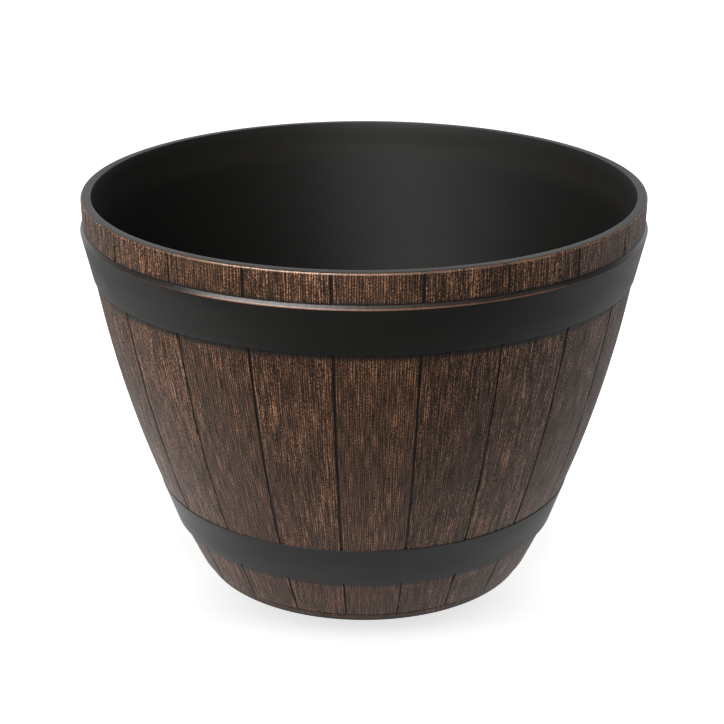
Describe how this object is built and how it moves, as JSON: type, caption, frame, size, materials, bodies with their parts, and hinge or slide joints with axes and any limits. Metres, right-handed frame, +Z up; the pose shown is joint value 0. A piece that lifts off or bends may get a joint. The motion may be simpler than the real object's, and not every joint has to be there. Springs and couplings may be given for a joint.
{
  "type": "barrel planter",
  "caption": "Half-barrel floor planter with a bowed stave-effect wall, two dark hoops, a plain rim and floor drains with pull-out plugs.",
  "frame": {"origin": "centre of the ground face, on the planter's axis", "axes": "+Z up along the axis of the barrel; the pictured front faces -Y and +X is to its right"},
  "size_m": [0.5742, 0.5742, 0.405],
  "materials": {
    "wood_effect_resin": "black resin, outside painted dark brown with dry-brushed copper grain",
    "black_hoop_resin": "satin black resin",
    "plug_rubber": "matte black rubber"
  },
  "bodies": {
    "planter": {"barrel_shell": "wood_effect_resin", "upper_hoop": "black_hoop_resin", "lower_hoop": "black_hoop_resin"},
    "plug_back_right": {"drain_plug_back_right": "plug_rubber"},
    "plug_back_left": {"drain_plug_back_left": "plug_rubber"},
    "plug_front_left": {"drain_plug_front_left": "plug_rubber"},
    "plug_front_right": {"drain_plug_front_right": "plug_rubber"}
  },
  "joints": [
    {"name": "plug_back_right_pull", "type": "slide", "parent": "planter", "child": "plug_back_right", "axis": [0, 0, 1], "range_m": [0, 0.42]},
    {"name": "plug_back_left_pull", "type": "slide", "parent": "planter", "child": "plug_back_left", "axis": [0, 0, 1], "range_m": [0, 0.42]},
    {"name": "plug_front_left_pull", "type": "slide", "parent": "planter", "child": "plug_front_left", "axis": [0, 0, 1], "range_m": [0, 0.42]},
    {"name": "plug_front_right_pull", "type": "slide", "parent": "planter", "child": "plug_front_right", "axis": [0, 0, 1], "range_m": [0, 0.42]}
  ]
}
